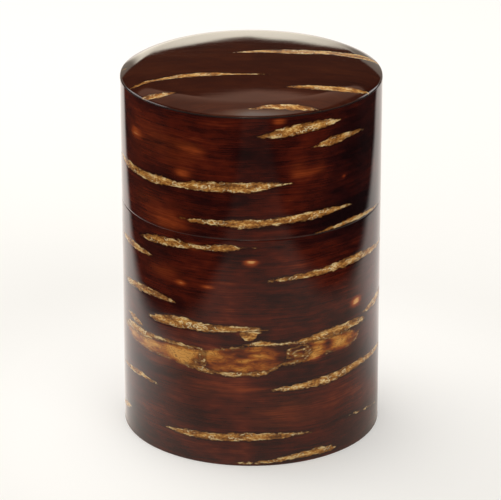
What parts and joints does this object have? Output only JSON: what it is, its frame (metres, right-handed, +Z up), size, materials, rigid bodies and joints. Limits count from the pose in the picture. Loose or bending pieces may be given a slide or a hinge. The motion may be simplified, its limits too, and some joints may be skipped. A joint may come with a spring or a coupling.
{
  "type": "tea caddy",
  "caption": "Round tea caddy in polished cherry bark with a domed lift-off lid over a raised neck and a plugged inner lid with a knob.",
  "frame": {"origin": "centre of the foot, on the surface that the caddy stands on", "axes": "+Z up along the caddy's axis, -Y towards the front seen in the picture, bark seams at +Y"},
  "size_m": [0.082, 0.082, 0.1206],
  "materials": {
    "polished_bark": "polished cherry bark, glossy, with corky tan lenticels",
    "lining_bark": "cherry bark, satin",
    "rolled_veneer": "rolled wood veneer, bare",
    "turned_board": "turned wood board, bare",
    "layered_bark": "stacked cherry bark, turned and polished"
  },
  "bodies": {
    "body": {"base_bark": "polished_bark", "base_board": "turned_board", "body_core": "rolled_veneer", "body_bark": "polished_bark", "sleeve_bark": "lining_bark", "inner_sleeve": "rolled_veneer", "inner_bark": "lining_bark", "floor_bark": "lining_bark"},
    "inner_lid": {"inner_lid_board": "turned_board", "inner_lid_bark": "lining_bark", "inner_lid_underbark": "lining_bark", "plug_ring": "rolled_veneer", "plug_bark": "lining_bark", "knob": "layered_bark", "knob_peg": "turned_board"},
    "lid": {"lid_bark": "polished_bark", "lid_core": "rolled_veneer", "lid_lining": "lining_bark", "lid_top_board": "turned_board", "lid_top_bark": "polished_bark", "lid_ceiling_bark": "lining_bark"}
  },
  "joints": [
    {"name": "inner_lid_lift", "type": "slide", "parent": "body", "child": "inner_lid", "axis": [0, 0, 1], "range_m": [0, 0.03]},
    {"name": "lid_lift", "type": "slide", "parent": "inner_lid", "child": "lid", "axis": [0, 0, 1], "range_m": [0, 0.05]}
  ]
}
